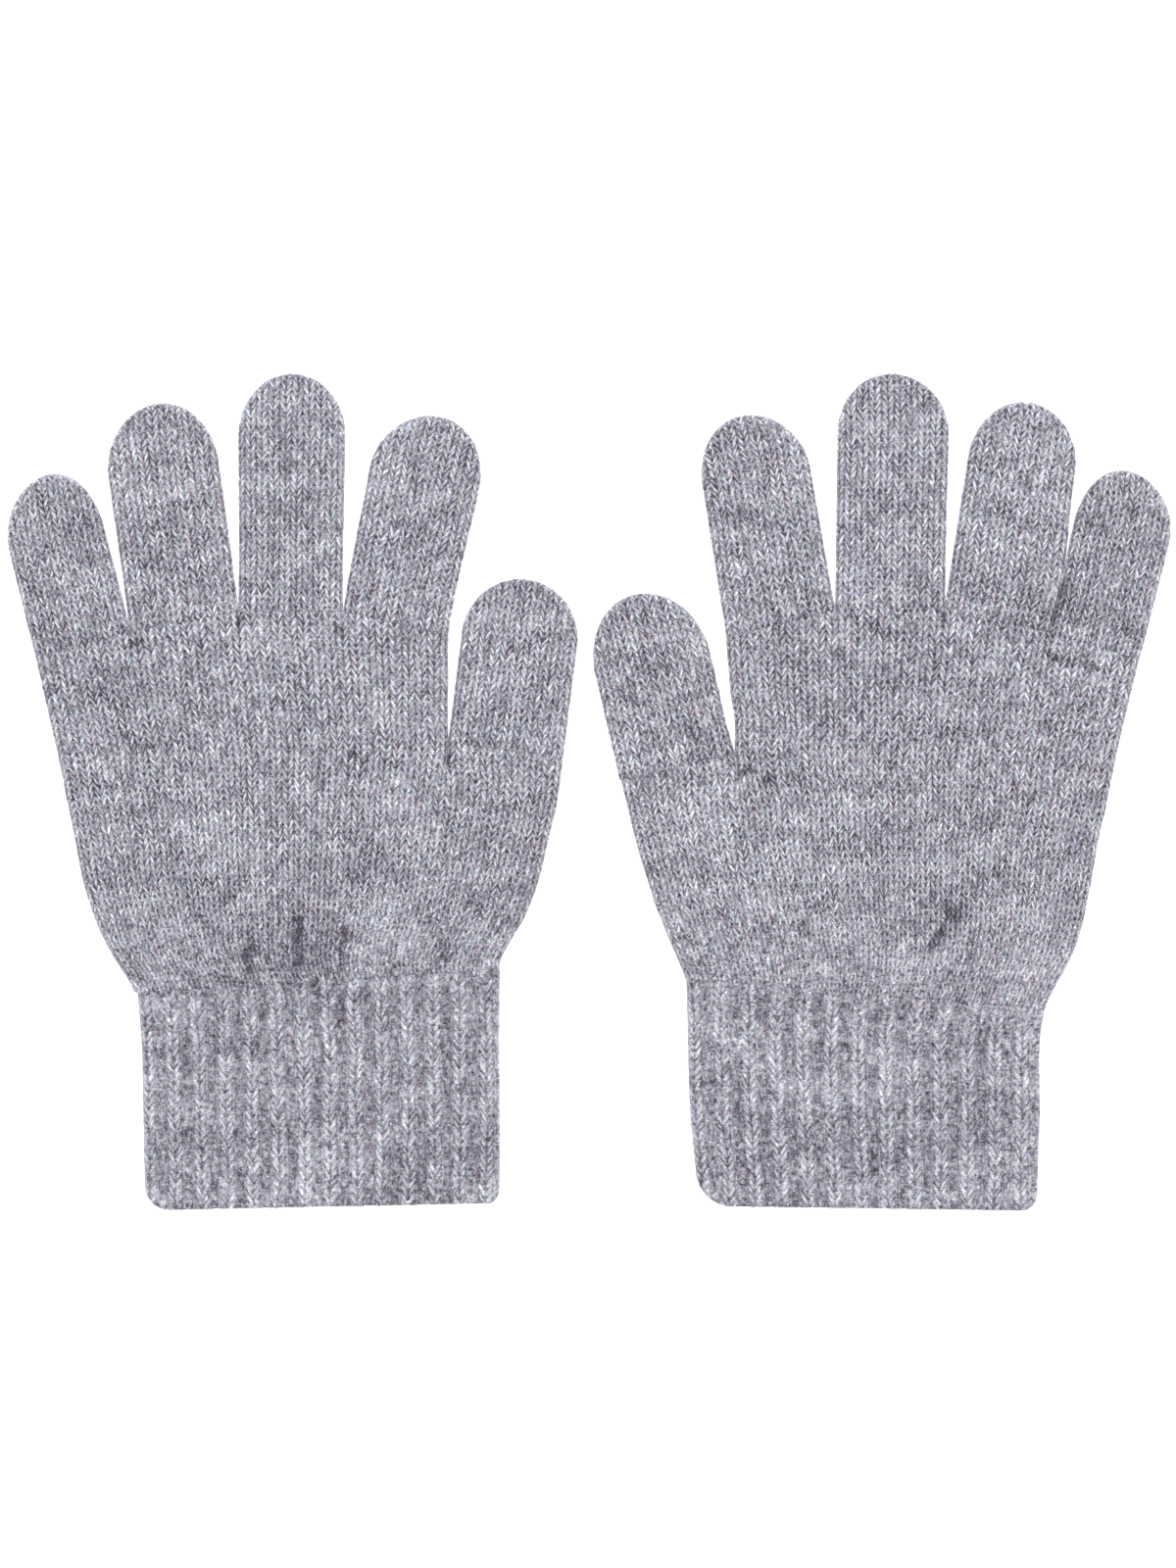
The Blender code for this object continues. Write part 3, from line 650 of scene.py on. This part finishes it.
def melange_yarn(name):
    """Wool yarn spun of dark and light fibres, seen along the legs of its stitches.

    The tone is the sum of slow patches, wisps that follow the courses, a shade of its own for each
    leg, painted light and shade that lightens the round of the leg and of its yarn as far as haze
    lets them show, fibres along it, clumps and specks. Painted shade darkens it in the valleys
    between the legs, by part of their depth and part of its square. The ramp's colour for that tone
    is then multiplied by a fine tint, as no two fibres are of quite the same hue.
    """
    tree = Tree(name)
    place = tree.node("ShaderNodeTexCoord", output="Object")
    uv = tree.node("ShaderNodeUVMap", {"uv_map": "stitches"})
    split = tree.node("ShaderNodeSeparateXYZ", {}, {0: uv})
    wale, course = split, Socket(tree, split.link.node.outputs[1])
    # The attribute height: the stitches' height with painted light and painted shade from the mesh
    # added
    height = tree.node("ShaderNodeAttribute", {"attribute_name": "height"}, output="Fac")
    clear = tree.node("ShaderNodeAttribute", {"attribute_name": "clear"}, output="Fac")

    def vector(x, y, z):
        return tree.node("ShaderNodeCombineXYZ", {}, {0: x, 1: y, 2: z})

    def noise(at, detail=2.0, roughness=0.5, distortion=0.0):
        """Noise about 0 with one wave to each unit of the vector."""
        return tree.node("ShaderNodeTexNoise", {"noise_dimensions": "3D"},
                         {"Vector": at, "Scale": 1.0, "Detail": detail,
                          "Roughness": roughness, "Distortion": distortion}) - 0.5

    def stretched(x, y, z):
        """The place on the object, counted in x, y and z waves a metre."""
        return tree.node("ShaderNodeVectorMath", {"operation": "MULTIPLY"},
                         {0: place, 1: (x, y, z)})

    def arch(share):
        """Parabola that is 1 half-way and 0 at both ends."""
        return share * (1.0 - share) * 4.0

    leg = (wale * 2.0).math("FLOOR")
    own = tree.node("ShaderNodeTexWhiteNoise", {"noise_dimensions": "3D"},
                    {"Vector": vector(leg, course.math("FLOOR"), 0.5)}) - 0.5
    wander = noise(vector(leg * 1.7, course * 0.8, 3.0))
    yarn = arch((course + wander * 1.2).math("FRACT"))
    run = arch((wale * 2.0 + wander * 0.5).math("FRACT"))
    haze = noise(stretched(230, 150, 230)) * 2.0 + 0.5
    wisps = noise(vector(wale * 0.15, course * 0.45, 1.0), detail=3.0, roughness=0.6)
    fibres = noise(vector(wale * 3.5, course * 6.0, leg * 5.1), detail=3.0, roughness=0.65)
    patches = noise(stretched(50, 85, 50), detail=3.0, roughness=0.55)
    clumps = noise(stretched(520, 380, 520), roughness=0.6)
    specks = noise(stretched(1200, 1400, 1200), roughness=0.7, distortion=1.0)
    # Painted light and shade: the round of each leg and of its yarn is lighter on its crest and
    # darker at its edges
    stitches = (yarn * (run * 0.65 + 0.35) - 0.49) * (1.1 - haze) * clear
    valley = (1.0 - height).math("MAXIMUM", 0.0).math("MINIMUM", 1.0)
    tone = (0.56 + patches * 0.34 + wisps * 0.37 + own * 0.18 + stitches * 0.5
            + fibres * 0.8 + clumps * 0.4 + specks * (1.65 - clear * 0.1))
    # Painted shade darkens the valleys between the legs, by part of their depth and part of its
    # square
    tone = tone - (1.0 - height) * 0.15 - valley * valley * 0.25
    hues = tree.node("ShaderNodeTexNoise", {"noise_dimensions": "3D"},
                     {"Vector": place, "Scale": 1700.0, "Detail": 1.0}, output="Color")
    tint = tree.node("ShaderNodeVectorMath", {"operation": "MULTIPLY_ADD"},
                     {0: hues, 1: HUE_RANGE, 2: [1 - share / 2 for share in HUE_RANGE]})
    stops = [(position, linear(colour)) for position, colour in MELANGE]
    shade = tree.node("ShaderNodeValToRGB", {"stops": stops}, {"Fac": tone})
    colour = tree.node("ShaderNodeVectorMath", {"operation": "MULTIPLY"}, {0: shade, 1: tint})
    tree.fill(tree.shader.inputs["Base Color"], colour)
    bump = tree.node("ShaderNodeBump", {}, {"Strength": 0.6, "Distance": 0.00012,
                                            "Height": fibres + specks * 0.8})
    tree.fill(tree.shader.inputs["Normal"], bump)
    set_inputs(tree.shader, {"Roughness": 0.88, "Specular IOR Level": 0.25,
                             "Sheen Weight": 0.25, "Sheen Roughness": 0.5})
    return tree.material


plain_yarn = melange_yarn("melange_yarn")
for glove in (LEFT, RIGHT):
    for digit in glove.digits:
        make_digit(glove, digit, plain_yarn)


# ---- Hands: one wide stockinette tube that takes up the fingers, then the thumb ------------------
# Its wales fan out from the wrist, where the rib draws them together. Below the thumb it is one
# tube; there it forks into a stub for the thumb and the palm, whose top the four fingers join.

# Both sides of the tube by height, as (v, thumb side, little side); the seam's height at each;
# how far the palm's fold is drawn in above the thumb's crotch; and the cuff's ribs: how far the
# first is from the little side's fold, their spacing, and the flat width these are measured in
Palm = namedtuple("Palm", "sections seam bow ribs")
PALMS = {
    "left": Palm(
        sections=((54.0, -52.3, 39.0), (57.7, -52.3, 40.8), (62.6, -52.5, 44.0),
                  (67.5, -55.0, 46.7), (72.5, -58.0, 48.9), (77.4, -60.2, 50.6),
                  (82.3, -61.9, 52.1), (92.1, -64.3, 54.0), (101.9, -66.6, 56.0),
                  (113.5, -68.2, 58.4), (138.5, -71.6, 64.0)),
        seam=(60.7, 54.8), bow=0.1, ribs=(1.5, 6.5, 89.4)),
    "right": Palm(
        sections=((50.0, -51.3, 38.4), (52.8, -51.3, 39.5), (57.7, -51.6, 42.0),
                  (62.6, -53.3, 44.7), (67.5, -55.5, 46.7), (72.5, -57.5, 48.1),
                  (77.4, -59.4, 49.1), (82.3, -60.9, 50.1), (92.1, -63.9, 51.8),
                  (101.9, -66.3, 54.0), (114.7, -69.2, 56.6), (138.0, -75.0, 62.1)),
        seam=(58.2, 50.8), bow=0.5, ribs=(4.6, 6.8, 87.6))}

STUB_WALES, PALM_WALES = 10, 33      # on one side, below the thumb and below the fingers
HAND_UNDER_WALE = 50
BOW_HEIGHT = 8.0                     # height over the crotch at which the palm is drawn in most
CROTCH_REACH = 14.0                  # wales begin to part this far below the thumb's crotch
CROTCH_PARTED = 3.0                  # and have parted this far below it
COURSE_DROOP = 0.0012                # a course hangs lower to both sides, 1/mm
FARTHEST = 70.0                      # from a hand's middle to its farthest column, at most
SPARE = 1.0                          # the first row starts this far below the lowest leg
HAND_SWAY = ((0.25, 4.0, 4.0), (0.13, 1.7, 1.9))
HAND_SWELL = ((0.12, 9.0, 9.0),)     # slow rise and fall of its surface
CROWN_FADE = 12.0                    # the crown runs out over this length
WRIST_CLEAR = 0.3                    # how clear the stitches stand out of the fuzz at the wrist
WRIST_START, WRIST_FUZZ = 3.0, 26.0  # how far above the seam they start to come clear; how long
LINING_SPREAD = 12.0                 # the lining stands in from a side fold over this width
LINING_TURN = 6.0                    # and from the palm's fold over this height above the crotch
LINING_CROTCH = 8.0                  # and hangs lower round the thumb's crotch over this radius
ON_SEAM = 0.01                       # points nearer to a seam than this lie on it
FOLD_CLOTH = 3.0                     # cloth that the palm's two folds take up, in its flat width
RIB_WALES = 3                        # in the cuff: the raised one and two of purl
RIB_START, RIB_BLEND = 6.0, 10.0     # how far above the seam ribs start to grow; for how long
RIB_SIDE = 0.75                      # half width of a raised wale at the seam, in even wales
RIB_DEPTH = 0.8                      # from a rib's crest down into the purl
RIB_RISE = 0.4                       # of a rib's crest over the plain knit
RIB_UNDER = 0.6                      # share of the relief that is left underneath
RIB_FLAT, RIB_FULL = 0.5, 14.0       # share of the purl's depth at a fold; full this far in
RIB_LIGHT, PURL_SHADE = 0.06, 0.18   # how much less a rib's crest is shaded, and the purl more


def through(at, value, x):
    """Smooth curve through given values, by cubic steps that meet at the points' mean slopes.

    It runs on straight past its ends.
    """
    slope = np.gradient(value, at)
    k = np.clip(np.searchsorted(at, x) - 1, 0, len(at) - 2)
    step = at[k + 1] - at[k]
    share = (x - at[k]) / step
    t = np.clip(share, 0, 1)
    inside = (mix(value[k], value[k + 1], t * t * (3 - 2 * t))
              + step * t * (1 - t) * ((1 - t) * slope[k] - t * slope[k + 1]))
    return inside + (share - t) * step * slope[k + (share > 1)]


def sides_at(sections, v):
    """Places of the thumb side's fold and of the little side's at height v."""
    heights, low, high = np.array(sections).T
    return through(heights, low, v), through(heights, high, v)


def seam_height(palm, u):
    """Straight line across the glove, between the seam's heights at both sides."""
    low, high = palm.sections[0][1:]
    return mix(palm.seam[0], palm.seam[1], (u - low) / (high - low))


def rib_distance(palm, u, low, high):
    """Distance to the nearest rib's middle where the hand meets the cuff, in the cuff's wales."""
    first, pitch, width = palm.ribs
    share = (high - u + TURN_MORE) / (high - low + 2 * TURN_MORE)
    from_rib = (share * (width + 2 * TURN_MORE) - TURN_MORE - first) / pitch
    distance = np.abs(from_rib - np.round(from_rib)) * RIB_WALES
    return np.interp(distance, (0, RIB_SIDE, RIB_WALES / 2), (0, 0.5, RIB_WALES / 2))


def rib_relief(distance, above_seam, inset):
    """How far ribs have grown at a height, and how deep the purl lies, from 0 to 1.

    The purl sinks smoothly from the rib's side, half a wale from its middle, on; beside a fold
    the tube is stretched and it stays higher.
    """
    ribbed = ease((RIB_START - above_seam) / RIB_BLEND)
    sunk = ease((distance - 0.5) / 0.5) * mix(RIB_FLAT, 1.0, ease(inset / RIB_FULL))
    return ribbed, sunk * ribbed


def make_hand(glove, palm, material):
    """The hand's wales run from the cuff's seam up to the thumb's seam or the fingers' seams.

    Each keeps its share of the cloth round the tube, first of the whole hand and, past the thumb's
    crotch, of the thumb's stub or of the palm. A course droops with the square of its distance
    from the hand's middle.
    """
    (out_u, out_v), (crotch_u, crotch_v) = glove.thumb_root
    roots = np.array(glove.roots)
    fork = STUB_WALES * COLUMNS_A_WALE
    columns = fork + PALM_WALES * COLUMNS_A_WALE
    number = np.arange(columns + 1)
    wale = number / COLUMNS_A_WALE
    low, high = sides_at(palm.sections, crotch_v)
    fork_share = (crotch_u - low + TURN_MORE) / (high - low + 2 * TURN_MORE)
    wide_share = np.where(number <= fork, number / fork * fork_share,
                          mix(fork_share, 1.0, (number - fork) / (columns - fork)))[:, None]
    stub_share = np.clip(number / fork, 0, 1)[:, None]
    palm_share = np.clip((number - fork) / (columns - fork), 0, 1)[:, None]
    is_stub = number[:, None] < fork

    def palm_side(v):
        """The palm's fold above the thumb's crotch: straight, and drawn in a little beside it."""
        up = v - crotch_v
        return mix(crotch_u, roots[0, 0], up / (roots[0, 1] - crotch_v)) \
            + palm.bow * hump(up - BOW_HEIGHT, BOW_HEIGHT)

    def across(v):
        """Place across the glove of each column at height v."""
        low, high = sides_at(palm.sections, v)
        whole = wrapped_place(wide_share, low, high)
        split = np.where(v < crotch_v, wrapped_place(fork_share, low, high), palm_side(v))
        forked = np.where(is_stub, wrapped_place(stub_share, low, split),
                          wrapped_place(palm_share, split, high))
        parted = ease((v - crotch_v + CROTCH_REACH) / (CROTCH_REACH - CROTCH_PARTED))
        return mix(whole, forked, parted)

    start = np.full((columns + 1, 1), float(np.mean(palm.seam)))
    end = np.where(is_stub, crotch_v, roots[:, 1].mean())
    # A column's ends lie on slanting seams, so its place and their heights settle by turns
    for _ in range(5):
        start = seam_height(palm, across(start))
        u = across(end)
        end = np.where(is_stub, mix(out_v, crotch_v, (u - out_u) / (crotch_u - out_u)),
                       np.interp(u, roots[:, 0], roots[:, 1]))
    middle = sum(sides_at(palm.sections, out_v)) / 2
    droop = COURSE_DROOP * FARTHEST ** 2
    lowest = start.min() - LEG_RISE * COURSE - SPARE
    rows = int((end.max() - lowest + droop) / COURSE * ROWS_A_COURSE) + 2
    climb = leg_climb(side_of_leg(wale))[:, None]
    way = lowest + COURSE * (np.arange(rows + 1)[None, :] / ROWS_A_COURSE + climb)
    v = way
    for _ in range(4):
        v = way - COURSE_DROOP * (across(np.clip(v, start, end)) - middle) ** 2
    v, first, last = clip_rows(v, start[:, 0], end[:, 0])
    # The fork's column is a fold from the crotch on, where the thumb's stub ends on it
    crotch_row = int(np.argmax(v[fork] >= crotch_v))
    v[fork, crotch_row] = crotch_v
    stub_last = last.copy()
    stub_last[fork] = crotch_row
    u = across(v)
    phase = (v + COURSE_DROOP * (u - middle) ** 2 - lowest) / COURSE - climb

    folds = np.zeros(v.shape, bool)
    folds[[0, -1]] = True
    folds[fork, crotch_row:] = True
    low, high = sides_at(palm.sections, v)
    is_wide = is_stub | (v < crotch_v)
    low = np.where(is_wide, low, palm_side(v))
    at_side = np.minimum(u - low, high - u)
    to_crotch = np.where(v < crotch_v, np.hypot(u - crotch_u, v - crotch_v), np.inf)
    to_fingers = np.min([np.hypot(u - root[0], v - root[1]) for root in roots[1:-1]], axis=0)
    inset = np.where(folds, 0, np.clip(np.min([at_side, to_crotch, to_fingers], axis=0), 0, None))
    from_seams = np.minimum(v - start, end - v)
    steady = ease(inset / STEADY) * ease(from_seams / STEADY)
    seed = 900 + 50 * glove.side
    half = (high - low) / 2
    crown = CROWN * hump(half - at_side, half) * ease((end - v) / CROWN_FADE)
    trough = troughs(glove.creases, u, v)
    swell = steady * uneven(u, v, HAND_SWELL, seed + 6)
    v_moved = v + steady * uneven(u, v, STRETCH, seed + 2)
    u = u + steady * uneven(u, v, HAND_SWAY, seed)
    ribbed, groove = rib_relief(rib_distance(palm, u, low, high), v - start, inset)
    clear = mix(WRIST_CLEAR, 1.0, ease((v - start - WRIST_START) / WRIST_FUZZ))
    # Painted light along the folds and on the rib crests, painted shade in the purl
    light = FOLD_LIGHT * hump(inset, FOLD_REACH) + RIB_LIGHT * ribbed - PURL_SHADE * groove
    relief = RIB_RISE * ribbed - RIB_DEPTH * groove - trough
    top = SIDE_FOLD + swell + (SIDE_FOLD + crown + relief) * rounded(inset)
    bottom = SIDE_FOLD - (SIDE_FOLD - RIB_UNDER * RIB_DEPTH * groove) * rounded(inset)
    wale_grid = np.broadcast_to(wale[:, None], v.shape)
    blocks = [(0, fork, stub_last), (fork, columns, last)]
    bag = Bag(glove, glove.label + "_hand_knit", first, blocks, folds)
    bag.add_knit(u, v_moved, (top, bottom), wale_grid, phase, clear, light, trough,
                 (seed, seed + 9), HAND_UNDER_WALE, LEG_DEPTH * clear)

    # The lining stands a wall's thickness in from both folds, and lower under the crotch's
    turned = np.where(is_wide, 1, ease((v - crotch_v) / LINING_TURN))
    moved_in = CLOTH * (hump(u - low, LINING_SPREAD) * turned - hump(high - u, LINING_SPREAD))
    sink = CLOTH * hump(np.hypot(u - crotch_u, v - crotch_v), LINING_CROTCH)
    inner_v = np.where(from_seams < ON_SEAM, v, v - sink)
    inner_v[fork, crotch_row] = crotch_v - CLOTH
    bag.add_lining(u + moved_in, inner_v, inset, wale_grid, phase)
    bag.close(is_open=True)
    piece = bag.finish(material)
    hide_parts(glove.label + "_hand")
    seam = np.mean(palm.seam)
    side_low, side_high = sides_at(palm.sections, np.linspace(seam, crotch_v, 40))
    below = np.mean(side_high - side_low) * (crotch_v - seam)
    above = (roots[-1, 0] - crotch_u + FOLD_CLOTH) * (roots[:, 1].mean() - crotch_v)
    area = 2 * (below + above)
    widest = float(high.max() - side_low[-1])
    area * MM * MM


for glove in (LEFT, RIGHT):
    make_hand(glove, PALMS[glove.label], plain_yarn)


# ---- Cuffs: the same tube, knitted on in rib, with a plain hem -----------------------------------
# Every third wale of the hand runs on as a raised rib and spreads. The two wales between turn to
# fuzzy purl, sink and close up. The rib starts softly and is drawn flatter towards both sides.

# Both sides by height; the hem's height at the thumb side and the little side, and its two
# corner radii, in mm
Cuff = namedtuple("Cuff", "sections hem corners")
CUFFS = {
    "left": Cuff(
        sections=((0.0, -52.0, 36.6), (8.6, -52.3, 36.8), (23.3, -52.3, 37.1), (43.0, -52.2, 37.6),
                  (61.0, -52.3, 39.2)),
        hem=(2.0, 0.2), corners=(3.0, 6.6)),
    "right": Cuff(
        sections=((0.0, -48.4, 36.6), (8.6, -48.9, 36.8), (23.3, -50.3, 37.3), (47.9, -51.1, 38.1),
                  (59.0, -51.4, 41.0)),
        hem=(1.3, 0.1), corners=(8.6, 4.2))}
RIB_SPREAD = 0.56                    # share of the spacing that the raised wale comes to take
RIB_EVEN = 3.0                       # wales are spaced evenly at a fold and spread this far in
RIB_COURSE = 2.05                    # mm
RIB_CLEAR, CUFF_REACH = 0.68, 9.0    # raised wales come this clear this far from the seam
PURL_FUZZ = 0.7                      # share of the purl's stitches that is lost in fuzz
PURL_CLIMB = 0.7                     # wales beside a rib over which the purl's courses level out
PURL_HEIGHT, PURL_BUMP = 0.45, 0.3   # of its fuzzy bumps: mean height and how much it varies
PURL_BUMPS = 1.3                     # of them in a mm
CUFF_HEIGHT = 0.48                   # mean height of its stitches; painted light lightens what lies lower, where fuzz fills it, by this much for each unit, and painted shade dims what lies higher
CUFF_FUZZ_LIGHT = 0.15               # by this much for each unit, and dims what lies higher
CUFF_SWAY = ((0.3, 5.0, 5.0), (0.18, 1.8, 2.2))
CUFF_STRETCH = ((0.3, 3.0, 3.0),)
CUFF_UNDER_WALE = 100
FIRST_RIB_WALE = 300                 # number given to the wale of the rib nearest the little side
HEM_ROUND, HEM_REACH = 0.9, 1.3      # the hem's edge is lower than the cuff, over its last mm


def make_cuff(glove, palm, cuff, material):
    """Wales straight up from the hem's rounded corners to the seam on the hand.

    A wale keeps its way round the tube, moved aside in proportion as the raised wale beside it or
    it itself has spread. Plain knit and purl are mixed by how far the ribs have grown.
    """
    first_rib, pitch, width = palm.ribs
    cloth = width + 2 * TURN_MORE
    wale_width = pitch / RIB_WALES
    low_wale = FIRST_RIB_WALE + 0.5 - (cloth - TURN_MORE - first_rib) / wale_width
    high_wale = low_wale + cloth / wale_width
    # The columns cut each wale in equal parts, and an odd first one keeps wales on even columns
    steps = np.arange(int(low_wale * COLUMNS_A_WALE) + 1, int(high_wale * COLUMNS_A_WALE))
    steps = steps[1 - steps[0] % 2:]
    wale = np.concatenate([[low_wale], steps / COLUMNS_A_WALE, [high_wale]])[:, None]
    columns = len(wale) - 1
    from_rib = (wale - 0.5 + RIB_WALES / 2) % RIB_WALES - RIB_WALES / 2
    distance = np.abs(from_rib)
    is_rib = distance < 0.501        # half a wale, and a hair for rounding
    in_rib, in_purl = np.minimum(distance, 0.5), np.maximum(distance - 0.5, 0)
    spread = np.sign(from_rib) * RIB_WALES * (in_rib * RIB_SPREAD + in_purl * (1 - RIB_SPREAD) / 2)
    plain_way = (wale - low_wale) * wale_width
    from_fold = np.minimum(plain_way, cloth - plain_way)
    moved = (spread - from_rib) * wale_width * ease(from_fold / RIB_EVEN)

    at_hem = wrapped_place((plain_way + moved) / cloth, 0, width)
    start = mix(cuff.hem[0], cuff.hem[1], at_hem / width)
    for radius, inset in ((cuff.corners[0], at_hem), (cuff.corners[1], width - at_hem)):
        start = start + radius * (1 - rounded(inset, radius))
    seam_way = (plain_way + moved * ease(RIB_START / RIB_BLEND)) / cloth
    end = np.full(wale.shape, np.mean(palm.seam))
    for _ in range(4):
        at_seam = wrapped_place(seam_way, *sides_at(cuff.sections, end))
        end = seam_height(palm, at_seam)
    lowest = start.min() - LEG_RISE * RIB_COURSE - SPARE
    rows = int((end.max() - lowest) / RIB_COURSE * ROWS_A_COURSE) + 2
    turns = np.arange(rows + 1)[None, :] / ROWS_A_COURSE
    level = lowest + RIB_COURSE * turns
    ribbed = rib_relief(distance, level - end, 0)[0]
    purl_climb = LEG_RISE * ease(1 - (distance - 0.5) / PURL_CLIMB)
    climb = np.where(is_rib, 1, 1 - ribbed) * leg_climb(side_of_leg(wale)) \
        + np.where(is_rib, 0, ribbed) * purl_climb
    way = level + RIB_COURSE * climb
    v, first, last = clip_rows(way, start[:, 0], end[:, 0])
    phase = turns + (v - way) / RIB_COURSE
    low, high = sides_at(cuff.sections, v)
    ribbed = rib_relief(distance, v - end, 0)[0]
    u = wrapped_place((plain_way + moved * ribbed) / cloth, low, high)

    folds = np.zeros(v.shape, bool)
    folds[[0, -1]] = True
    inset = np.where(folds, 0, np.minimum(u - low, high - u))
    groove = rib_relief(distance, v - end, inset)[1]
    seed = 1500 + 50 * glove.side
    wale_grid = np.broadcast_to(wale, v.shape)
    purl = np.where(is_rib, 0, ribbed)
    bumps = PURL_HEIGHT + PURL_BUMP * soft_noise(u * PURL_BUMPS, v * PURL_BUMPS, seed + 8)
    stitch = mix(stitch_height(wale_grid, phase, seed), bumps, purl)
    steady = ease(inset / STEADY) * ease(np.minimum(v - start, end - v) / STEADY)
    trough = troughs(glove.creases, u, v)
    hem = HEM_ROUND * (1 - rounded(v - start, HEM_REACH))
    half = (high - low) / 2
    crown = CROWN * hump(half - inset, half) * ease(1 - (end - v) / CROWN_FADE)
    moved_u = u + steady * uneven(u, v, CUFF_SWAY, seed)
    moved_v = v + steady * uneven(u, v, CUFF_STRETCH, seed + 2)
    relief = RIB_RISE * ribbed - RIB_DEPTH * groove - trough
    clear = mix(WRIST_CLEAR, RIB_CLEAR, ease((end - v) / CUFF_REACH))
    # Painted light along the folds, on the rib crests and on the lower stitches; painted shade in
    # the purl and on the higher stitches
    light = FOLD_LIGHT * hump(inset, FOLD_REACH) + RIB_LIGHT * ribbed - PURL_SHADE * groove \
        + CUFF_FUZZ_LIGHT * (CUFF_HEIGHT - stitch)
    top = SIDE_FOLD + (SIDE_FOLD + crown + relief - hem) * rounded(inset)
    bottom = SIDE_FOLD - (SIDE_FOLD - RIB_UNDER * (RIB_DEPTH * groove + hem)) * rounded(inset)
    bag = Bag(glove, glove.label + "_cuff_knit", first, [(0, columns, last)], folds)
    bag.add_knit(moved_u, moved_v, (top, bottom), wale_grid, phase, clear * (1 - PURL_FUZZ * purl),
                 light, trough, (seed, seed + 9), CUFF_UNDER_WALE, LEG_DEPTH * clear, stitch)
    lining_u = wrapped_place(plain_way / cloth, low + CLOTH, high - CLOTH)
    bag.add_lining(lining_u, v, inset, wale_grid, phase)
    bag.close(is_open=True)
    piece = bag.finish(material)
    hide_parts(glove.label + "_cuff")


for glove in (LEFT, RIGHT):
    make_cuff(glove, PALMS[glove.label], CUFFS[glove.label], plain_yarn)
